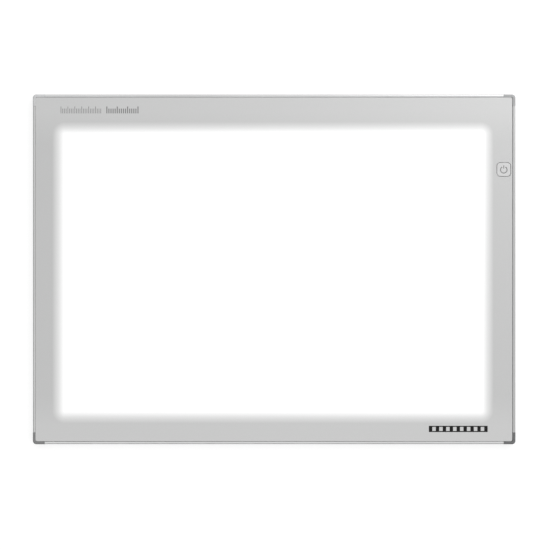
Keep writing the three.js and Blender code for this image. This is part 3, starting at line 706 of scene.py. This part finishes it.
def all_finishes():
    """Every finish that isn't made together with its own piece, by name."""
    made = {"circuit_board": board_material(), "led_strip": strip_material(), "light_guide": guide_material()}

    def add(name, light, dark, rough, bumps, patch, **kwargs):
        """A surface with its bumps and patches in millimetres."""
        in_metres = [(size * MM, depth * MM) for size, depth in bumps]
        made[name] = surface(name, light, dark, rough, in_metres, patch * MM, **kwargs)

    add("back_cover", grey(0.60), grey(0.56), (0.48, 0.62), [(1.6, 0.03), (0.35, 0.05)], 60,
        wear=(grey(0.75), 0.4 * MM))
    add("key_plastic", grey(0.415), grey(0.395), (0.34, 0.44), [(0.9, 0.003), (0.2, 0.004)], 6,
        wear=(grey(0.62), 0.3 * MM))
    add("sign_ink", grey(0.11), grey(0.09), (0.5, 0.6), [(0.2, 0.004)], 2)
    add("ink_fine", grey(0.14), grey(0.12), (0.5, 0.6), [(0.2, 0.003)], 3)
    add("ink_bold", grey(0.15), grey(0.13), (0.5, 0.6), [(0.2, 0.003)], 3)
    add("ink_black", grey(0.008), grey(0.005), (0.5, 0.6), [(0.2, 0.003)], 3, Specular_IOR_Level=0.12)
    add("rubber", grey(0.028), grey(0.018), (0.75, 0.92), [(1.1, 0.02), (0.25, 0.03)], 3,
        wear=(grey(0.07), 0.5 * MM))
    add("screw_steel", grey(0.55), grey(0.42), (0.22, 0.38), [(0.5, 0.004), (0.1, 0.003)], 1,
        wear=(grey(0.75), 0.2 * MM), Metallic=1.0)
    add("black_plastic", grey(0.022), grey(0.014), (0.35, 0.5), [(0.6, 0.006), (0.15, 0.006)], 3,
        wear=(grey(0.06), 0.2 * MM))
    add("brass", grey(1, (0.70, 0.50, 0.20)), grey(1, (0.56, 0.37, 0.13)), (0.2, 0.36), [(0.3, 0.003)], 1,
        Metallic=1.0)
    add("heat_bar", grey(0.62), grey(0.54), (0.32, 0.5), [(0.8, 0.01), (0.15, 0.006)], 6,
        stretch=(0.03, 1, 1), Metallic=0.9)
    add("white_film", grey(0.88), grey(0.84), (0.55, 0.7), [(30, 0.05), (0.4, 0.006)], 40)
    add("foam", grey(0.80, (1, 0.99, 0.95)), grey(0.70, (1, 0.99, 0.95)), (0.9, 1.0),
        [(2.5, 0.2), (0.7, 0.12)], 5)
    add("adhesive_tape", grey(0.045), grey(0.03), (0.6, 0.8), [(3, 0.02), (0.4, 0.01)], 8)
    add("nylon", grey(0.78, (1, 0.98, 0.92)), grey(0.70, (1, 0.97, 0.9)), (0.4, 0.55), [(0.5, 0.006)], 3,
        Subsurface_Weight=0.1)
    add("ferrite", grey(0.05), grey(0.03), (0.6, 0.85), [(0.5, 0.02), (0.15, 0.01)], 2)
    add("capacitor_sleeve", grey(1, (0.02, 0.04, 0.12)), grey(1, (0.015, 0.028, 0.09)), (0.25, 0.4),
        [(0.8, 0.01)], 4)
    add("lead_jacket", grey(0.78, (1, 0.98, 0.93)), grey(0.70, (1, 0.97, 0.91)), (0.4, 0.6),
        [(0.4, 0.006)], 10)
    return made


# ---- Places in the frame ----


def nodes_named(start):
    return sorted(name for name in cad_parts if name.startswith(start))


def middle_of(name):
    low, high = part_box(name)
    return (low + high) / 2


def side_frame(side):
    """A side's own frame: x along the side, y inwards from the outside of the pad, z up."""
    turns, _ = SIDES_WITH_PAINTED_SHADE[side]
    turn = turn_about_z(QUARTER * turns)
    outward = turn @ Vector((0, -1, 0))
    edge = Vector((cad_high.x * outward.x, cad_high.y * outward.y, 0))
    return Matrix.Translation(edge) @ turn


def inlet_axis():
    """The inlet's own frame: y runs inwards along its bore."""
    pin = middle_of("inlet_pin")
    return Matrix.Translation((0, pin.y, pin.z)) @ side_frame("right")


# Turns a plate drawn in (inwards, up) and raised along z into a bar along x.
BAR = Matrix(((0, 0, 1, 0), (1, 0, 0, 0), (0, 1, 0, 0), (0, 0, 0, 1)))
# Turns a solid turned about z into one about y, its base at y = 0.
INWARD = Matrix(((1, 0, 0, 0), (0, 0, 1, 0), (0, -1, 0, 0), (0, 0, 0, 1)))


# ---- Front panel and its marks ----


def front_panel():
    low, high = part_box("front_panel")
    key = middle_of("power_key")
    opening = KEY_CAP + 2 * KEY_GAP
    key_hole = around(key.x, key.y, opening, opening, KEY_RADIUS + KEY_GAP)
    shape = rounded(low + PANEL_SHIFT, high + PANEL_SHIFT, PANEL_RADIUS)
    sheet = plate(shape, low.z, high.z - PRINT_HEIGHT, PANEL_EDGE, [key_hole])
    finish_piece(piece("front_panel_sheet", sheet), panel_material(), ["front_panel"])


def printed(name, rectangles, material):
    """Flat blocks of ink on the panel, each given by its low and high x, then its low and high y."""
    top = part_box("front_panel")[1].z
    foot = top - PRINT_HEIGHT - TINY
    inks = []
    for x0, x1, y0, y1 in rectangles:
        inks.append(plate(rounded((x0, y0), (x1, y1), PRINT_RADIUS), foot, top))
    finish_piece(piece(name, joined(inks)), material)


def scale_bar(finishes):
    """A plain five-millimetre scale, filled and open in turn."""
    low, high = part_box("front_panel")
    count, step, height, line = SCALE_BAR.values()
    start, y = high.x - MARK_INSET - count * step, low.y + FRONT_MARK_DEPTH
    bottom, top = y - height / 2, y + height / 2
    blocks = []
    for i in range(count):
        left, right = start + i * step, start + (i + 1) * step
        if i % 2:
            blocks.append((left + TINY, right - TINY, bottom, bottom + line))
            blocks.append((left + TINY, right - TINY, top - line, top))
        else:
            blocks.append((left, right, bottom, top))
    printed("printed_scale_bar", blocks, finishes["ink_black"])


def tick_rows(finishes):
    """Two rows of plain graduations, a fine one and a bold one."""
    low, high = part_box("front_panel")
    x, bottom = low.x + MARK_INSET, high.y - REAR_MARK_DEPTH - TICK_HEIGHT / 2
    for name, row in TICKS.items():
        ticks = []
        for i in range(row["count"]):
            left = x + i * row["pitch"]
            extra = 0 if i % row["long_every"] else TICK_EXTRA
            ticks.append((left, left + row["width"], bottom, bottom + TICK_HEIGHT + extra))
        printed(f"printed_ticks_{name}", ticks, finishes[f"ink_{name}"])
        x += row["count"] * row["pitch"] + TICK_GROUP_GAP


# ---- Frame ----


def rail_section(top):
    """The rail's section in (inwards, up), anticlockwise, and its hollow."""
    rail_low, rail_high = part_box("rail_front")
    inset, reach = rail_low.y - cad_low.y, rail_high.y - cad_low.y
    base = rail_low.z

    def arc(y, z, radius, start):
        turns = quarter_turn(ARC_STEPS)
        return [(y + radius * math.cos(start + a), z + radius * math.sin(start + a)) for a in turns]

    section = arc(inset + FRAME_EDGE, base + FRAME_EDGE, FRAME_EDGE, math.pi)
    section += [(COVER_LIP, base), (COVER_LIP, FLANGE["low"]), (reach, FLANGE["low"])]
    section += [(reach, FLANGE["high"]), (RAIL_INNER, FLANGE["high"]), (RAIL_INNER, SHELF["low"])]
    section += [(SHELF["reach"], SHELF["low"]), (SHELF["reach"], SHELF["high"]), (RIM_INSET, SHELF["high"])]
    section += arc(RIM_INSET - RIM_ROUND, top - RIM_ROUND, RIM_ROUND, 0)
    section += arc(inset + FRAME_EDGE, top - FRAME_EDGE, FRAME_EDGE, QUARTER)
    near, far, low, high = CHAMBER.values()
    return section, rectangle((near, low), (far, high))


def rails():
    for side, (_, level) in SIDES_WITH_PAINTED_SHADE.items():
        low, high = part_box(f"rail_{side}")
        half = (high.x - low.x if side in ("front", "rear") else high.y - low.y) / 2
        section, chamber = rail_section(high.z)
        bar = moved(plate(fixed(section), -half, half, holes=[fixed(chamber)]), BAR)
        rail = soften(piece(f"frame_rail_{side}", moved(bar, side_frame(side))), FRAME_FINE_EDGE)
        if side == "right":
            combine(rail, "DIFFERENCE", inlet_recess(), key_notch())
        # level is this side's painted shade
        finish_piece(rail, rail_material(side, level), [f"rail_{side}"])


def inlet_recess():
    """The cutting tool for the round recess that the plug enters."""
    radius, depth, edge, through = RECESS.values()
    inset = cad_high.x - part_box("rail_right")[1].x
    flare = [(radius + out, inset + up) for out, up in rounding(edge)]
    wall = [(radius, depth), (through, depth), (through, RAIL_INNER + OVERSHOOT)]
    return moved(turned([(radius + edge, -OVERSHOOT)] + flare + wall), inlet_axis() @ INWARD)


def key_notch():
    """The opening in the rail's shelf for the key's flange."""
    low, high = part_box("power_key")
    margin = KEY_NOTCH["margin"]
    inner = cad_high.x - RAIL_INNER - KEY_NOTCH["clear"]
    start = (inner - SHELF["reach"], low.y - margin, SHELF["low"] - OVERSHOOT)
    return block(start, (inner, high.y + margin, SHELF["high"] + OVERSHOOT))


def corner_shell():
    """The rear right corner, in the pad's frame."""
    low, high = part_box("corner_rear_right")
    base, top = low.z, high.z
    half = Vector((cad_high.x, cad_high.y))

    def inwards(xs, ys, zs):
        """A block between distances from the pad's outside."""
        return block((half.x - xs[1], half.y - ys[1], zs[0]), (half.x - xs[0], half.y - ys[0], zs[1]))

    def pocket(inset, radius, floor, roof):
        """The room inside the whole frame, an inset in from the pad's outside."""
        room = half - Vector((inset, inset))
        return plate(rounded(-room, room, radius), floor, roof)

    shell = piece("corner", plate(rounded(-half, half, OUTLINE_RADIUS), base, top, FRAME_EDGE))
    beyond = (-OVERSHOOT, CORNER_ARM)
    combine(shell, "INTERSECT", inwards(beyond, beyond, (0, top + OVERSHOOT)))
    panel_room = pocket(RIM_INSET, PANEL_POCKET_RADIUS, SHELF["high"], top + OVERSHOOT)
    cover_room = pocket(COVER_LIP, COVER_POCKET_RADIUS, 0, FLANGE["low"])
    hollow = (CORNER_WALL, CORNER_ARM + OVERSHOOT)
    combine(shell, "DIFFERENCE", panel_room, cover_room, inwards(hollow, hollow, (base, CORNER_ROOF)))
    clear = TONGUE["clear"]
    along = (TONGUE["root"], TONGUE["end"])
    across = (CHAMBER["near"] + clear, CHAMBER["far"] - clear)
    tall = (CHAMBER["low"] + clear, CHAMBER["high"] - clear)
    x, y = half - Vector((SCREW_INSET, SCREW_INSET))
    boss = placed(turned([(BOSS["radius"], FLANGE["low"]), (BOSS["radius"], BOSS["high"])]), x, y)
    bore = placed(turned([(BOSS["bore"], base), (BOSS["bore"], BOSS["bore_high"])]), x, y)
    combine(shell, "UNION", inwards(along, across, tall), inwards(across, along, tall), boss)
    combine(shell, "DIFFERENCE", bore)
    return soften(shell, FRAME_FINE_EDGE)


def corners():
    first = corner_shell()
    for name, (to_x, to_y, level) in CORNERS_WITH_PAINTED_SHADE.items():
        mirror = Matrix.Diagonal((to_x, to_y, 1, 1))
        cap = piece(f"corner_cap_{name}", moved(copied(first), mirror))
        # level is this corner's painted shade
        finish_piece(cap, corner_material(f"corner_{name}", level), [f"corner_{name}"])
    bpy.data.meshes.remove(first.data)


# ---- Power key ----


def sign_shapes(grow):
    """Outlines of the standby sign about the key's middle: a ring open to the rear, and a bar.

    grow is how much wider than the sign they are on each side."""
    radius, half = SIGN["radius"], SIGN["line"] / 2 + grow
    gap = SIGN_GAP - grow / radius
    round_ring = 2 * math.pi - 2 * gap
    angles = [QUARTER + gap + round_ring * i / ROUND_SIDES for i in range(ROUND_SIDES + 1)]

    def arc(reach, turns):
        return [(reach * math.cos(a), SIGN_MIDDLE + reach * math.sin(a)) for a in turns]

    outline = arc(radius + half, angles) + arc(radius - half, reversed(angles))
    start, end = SIGN_MIDDLE + SIGN_BAR["start"] - grow, SIGN_MIDDLE + SIGN_BAR["end"] + grow
    bar = rounded((-half, start), (half, end), half / 2)
    return [fixed(outline), bar]


def power_key(finishes):
    low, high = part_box("power_key")
    middle = middle_of("power_key")
    stem = KEY_FLANGE_HIGH - KEY_FLANGE_EDGE
    cap = plate(around(0, 0, KEY_CAP, KEY_CAP, KEY_RADIUS), stem - KEY_EDGE, high.z, KEY_EDGE)
    foot = around(0, 0, high.x - low.x, high.y - low.y, KEY_FLANGE_RADIUS)
    flange = plate(foot, KEY_FLANGE_LOW, KEY_FLANGE_HIGH, KEY_FLANGE_EDGE)
    chamfer = [(KEY_BOSS_RADIUS - KEY_FLANGE_EDGE, low.z), (KEY_BOSS_RADIUS, low.z + KEY_FLANGE_EDGE)]
    boss = turned(chamfer + [(KEY_BOSS_RADIUS, stem)])
    key = combine(piece("power_key_cap", cap), "UNION", flange, boss)
    floor = high.z - SIGN["depth"]
    sunk = [plate(shape, floor, high.z + OVERSHOOT) for shape in sign_shapes(0)]
    combine(key, "DIFFERENCE", joined(sunk))
    key.data.transform(Matrix.Translation((middle.x, middle.y, 0)))
    finish_piece(key, finishes["key_plastic"], ["power_key"], KEY_BODY)
    inlay = [plate(shape, floor + TINY, high.z - SIGN["sunk"]) for shape in sign_shapes(-TINY)]
    sign = piece("standby_sign", placed(joined(inlay), middle.x, middle.y))
    finish_piece(sign, finishes["sign_ink"], body=KEY_BODY)


# ---- Underside ----


def back_cover(finishes):
    low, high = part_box("back_cover")
    cover = piece("back_cover_plate", plate(rounded(low, high, COVER_RADIUS), low.z, high.z, COVER_EDGE))
    screw_low, screw_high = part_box("cover_screw_left_1")
    head = (screw_high.x - screw_low.x) / 2 + SCREW_CLEAR
    shank = SCREW_SHANK + SCREW_CLEAR
    rim = screw_low.z + SCREW_RIM
    sink = [(head, -OVERSHOOT), (head, rim), (shank, SCREW_NECK), (shank, high.z + 2 * OVERSHOOT)]
    foot_low, foot_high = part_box("rubber_foot_front_left")
    well_radius = (foot_high.x - foot_low.x) / 2 + FOOT_CLEAR
    well = [(well_radius, -OVERSHOOT), (well_radius, FOOT_RECESS)]
    tools = []
    for start, profile in (("cover_screw_", sink), ("rubber_foot_", well)):
        for name in nodes_named(start):
            x, y, _ = middle_of(name)
            tools.append(placed(turned(profile), x, y))
    room = rounded(*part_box("blank_label"), LABEL_RADIUS)
    tools.append(plate(lambda inset: room(inset - LABEL_CLEAR), -OVERSHOOT, LABEL_RECESS))
    combine(cover, "DIFFERENCE", joined(tools))
    finish_piece(cover, finishes["back_cover"], ["back_cover"])


def cross_slot(face, turn):
    """The cutting tool for one slot of a cross head, narrowing upwards from the head's face."""
    reach, width, depth, floor_reach = CROSS.values()
    rings = []
    for r, z in ((reach + CROSS_PAST, face - CROSS_PAST), (floor_reach, face + depth)):
        rings.append(ring(rectangle((-r, -width / 2), (r, width / 2)), z))
    return moved(stacked(rings), turn_about_z(turn))


def cover_screw():
    """One countersunk cross-head screw on the z axis, its head facing down."""
    low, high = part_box("cover_screw_left_1")
    head = (high.x - low.x) / 2
    rim = low.z + SCREW_RIM
    root = SCREW_SHANK - THREAD_DEPTH
    profile = [(head - SCREW_EDGE, low.z), (head, low.z + SCREW_EDGE), (head, rim), (SCREW_SHANK, SCREW_NECK)]
    for i in range(int((high.z - SCREW_NECK) / THREAD_PITCH)):
        z = SCREW_NECK + (i + 0.5) * THREAD_PITCH
        profile += [(SCREW_SHANK, z - THREAD_HALF), (root, z), (SCREW_SHANK, z + THREAD_HALF)]
    profile.append((root, high.z))
    screw = piece("screw", turned(profile))
    return combine(screw, "DIFFERENCE", cross_slot(low.z, 0), cross_slot(low.z, QUARTER))


def cover_screws(finishes):
    first = cover_screw()
    for i, name in enumerate(nodes_named("cover_screw_")):
        x, y, _ = middle_of(name)
        there = Matrix.Translation((x, y, 0)) @ turn_about_z(SCREW_TURN * i)
        screw = piece(name.replace("screw", "screw_cross"), moved(copied(first), there))
        finish_piece(screw, finishes["screw_steel"], [name])
    bpy.data.meshes.remove(first.data)


def rubber_feet(finishes):
    groove, half, depth = FOOT_GROOVE.values()
    sole = [(groove - half, 0), (groove - half / 2, depth), (groove + half / 2, depth), (groove + half, 0)]
    for name in nodes_named("rubber_foot_"):
        low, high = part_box(name)
        radius = (high.x - low.x) / 2
        edge = [(radius - inset, up) for inset, up in rounding(FOOT_EDGE)]
        x, y, _ = middle_of(name)
        foot = placed(turned(sole + edge + [(radius, high.z)]), x, y)
        finish_piece(piece(name.replace("foot", "foot_pad"), foot), finishes["rubber"], [name])


def blank_label():
    low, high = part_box("blank_label")
    film = plate(rounded(low, high, LABEL_RADIUS), low.z, high.z, LABEL_EDGE)
    finish_piece(piece("blank_label_film", film), label_material(), ["blank_label"])


# ---- Power inlet ----


def inlet_housing(finishes):
    low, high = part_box("inlet_housing")
    axis = inlet_axis()
    height = axis.translation.z
    tip, far = cad_high.x - high.x, cad_high.x - low.x
    body = plate(around(0, 0, JACK_WIDTH, high.z - low.z, JACK_EDGE * 2), JACK_FACE, far, JACK_EDGE)
    upright = Matrix.Translation((0, 0, (low.z + high.z) / 2 - height))
    housing = piece("inlet_housing_shell", moved(body, axis @ upright @ INWARD))
    radius, lip = JACK_NOSE.values()
    nose = turned([(radius - lip, tip), (radius, tip + lip), (radius, JACK_FACE + OVERSHOOT)])
    half = (high.y - low.y) / 2
    ears = block((-half, JACK_EARS["near"], JACK_EARS["low"] - height),
                 (half, JACK_EARS["far"], JACK_EARS["high"] - height))
    bore, end = JACK_BORE.values()
    flare = [(bore + lip, tip - OVERSHOOT), (bore + lip, tip), (bore, tip + lip)]
    pin_hole = [(JACK_PIN_HOLE, end), (JACK_PIN_HOLE, far + OVERSHOOT)]
    hollow = turned(flare + [(bore, end)] + pin_hole)
    half_slot = JACK_SLOT["width"] / 2
    slot = block((-half_slot, JACK_SLOT["near"], low.z - height - OVERSHOOT),
                 (half_slot, JACK_SLOT["far"], JACK_SLOT["high"] - height))
    combine(housing, "UNION", moved(nose, axis @ INWARD), moved(ears, axis))
    combine(housing, "DIFFERENCE", moved(hollow, axis @ INWARD), moved(slot, axis))
    finish_piece(housing, finishes["black_plastic"], ["inlet_housing"])


def inlet_pin(finishes):
    low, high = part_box("inlet_pin")
    start, end = cad_high.x - high.x, cad_high.x - low.x
    thick = (high.y - low.y) / 2
    tip = [(thick - inset, start + up) for inset, up in rounding(PIN_TIP)]
    pin = moved(turned(tip + [(thick, end)]), inlet_axis() @ INWARD)
    finish_piece(piece("inlet_centre_pin", pin), finishes["brass"], ["inlet_pin"])


# ---- Pieces carried over from the CAD model ----

CARRIED = {
    "diffuser_sheet": "white_film",
    "reflector_sheet": "white_film",
    "light_guide_plate": "light_guide",
    "backing_foam": "foam",
    "led_strip_": "led_strip",
    "thermal_tape_": "adhesive_tape",
    "heat_bar_": "heat_bar",
    "panel_tape": "adhesive_tape",
    "switch_body": "black_plastic",
    "switch_plunger": "nylon",
    "control_board": "circuit_board",
    "board_screw_": "screw_steel",
    "board_spacer_": "nylon",
    "driver_chip": "black_plastic",
    "inductor": "ferrite",
    "capacitor": "capacitor_sleeve",
    "inlet_contact": "brass",
    "lead_socket_": "nylon",
    "led_lead_": "lead_jacket",
    "lead_clip_": "nylon",
}


def carried_over(finishes):
    for start, finish in CARRIED.items():
        for name in nodes_named(start):
            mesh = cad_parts[name].data
            mesh.materials.clear()
            mesh.materials.append(finishes[finish])


# ---- Studio ----


def camera():
    data = bpy.data.cameras.new("camera")
    data.lens = CAMERA_LENS
    data.sensor_width = CAMERA_SENSOR
    data.clip_end = CAMERA_REACH
    made = bpy.data.objects.new("camera", data)
    distance = VIEW_WIDTH * CAMERA_LENS / CAMERA_SENSOR
    middle = (cad_low + cad_high) / 2
    made.location = (middle.x + AIM.x, middle.y + AIM.y, cad_high.z + distance)
    bpy.context.scene.collection.objects.link(made)
    bpy.context.scene.camera = made


def studio_floor():
    outline = rectangle((-FLOOR_HALF, -FLOOR_HALF), (FLOOR_HALF, FLOOR_HALF))
    bm = bmesh.new()
    bm.faces.new([bm.verts.new(point) for point in ring(outline, 0)])
    floor = piece("studio_floor", bm)
    floor.data.materials.append(floor_material())


def studio_world():
    """Surroundings that are brighter to one side."""
    world = bpy.data.worlds.new("studio")
    bpy.context.scene.world = world
    world.use_nodes = True
    tree = world.node_tree
    direction = node(tree, "TexCoord").outputs["Generated"]
    towards = calculate_vector(tree, "DOT_PRODUCT", direction, WORLD_SIDE)
    strength = spread(tree, towards, WORLD_DIM, WORLD_BRIGHT, WORLD_CUT, 1)
    background = tree.nodes["Background"]
    tree.links.new(strength, background.inputs["Strength"])
    background.inputs["Color"].default_value = grey(1)


def studio_lights():
    """Soft lights that face the pad's middle."""
    for name, light in SOFT_LIGHTS.items():
        data = bpy.data.lights.new(name, "AREA")
        data.shape = "RECTANGLE"
        data.size = light["width"]
        data.size_y = light["depth"]
        data.energy = light["power"]
        made = bpy.data.objects.new(name, data)
        made.location = light["at"]
        made.rotation_euler = (-Vector(light["at"])).to_track_quat("-Z", "Y").to_euler()
        made.visible_camera = False
        bpy.context.scene.collection.objects.link(made)


# ---- Assembly ----

camera()
finishes = all_finishes()
front_panel()
scale_bar(finishes)
tick_rows(finishes)
rails()
corners()
power_key(finishes)
back_cover(finishes)
cover_screws(finishes)
rubber_feet(finishes)
blank_label()
inlet_housing(finishes)
inlet_pin(finishes)
carried_over(finishes)
studio_floor()
studio_world()
studio_lights()
bpy.context.scene.view_settings.view_transform = "Standard"

bpy.context.view_layer.update()
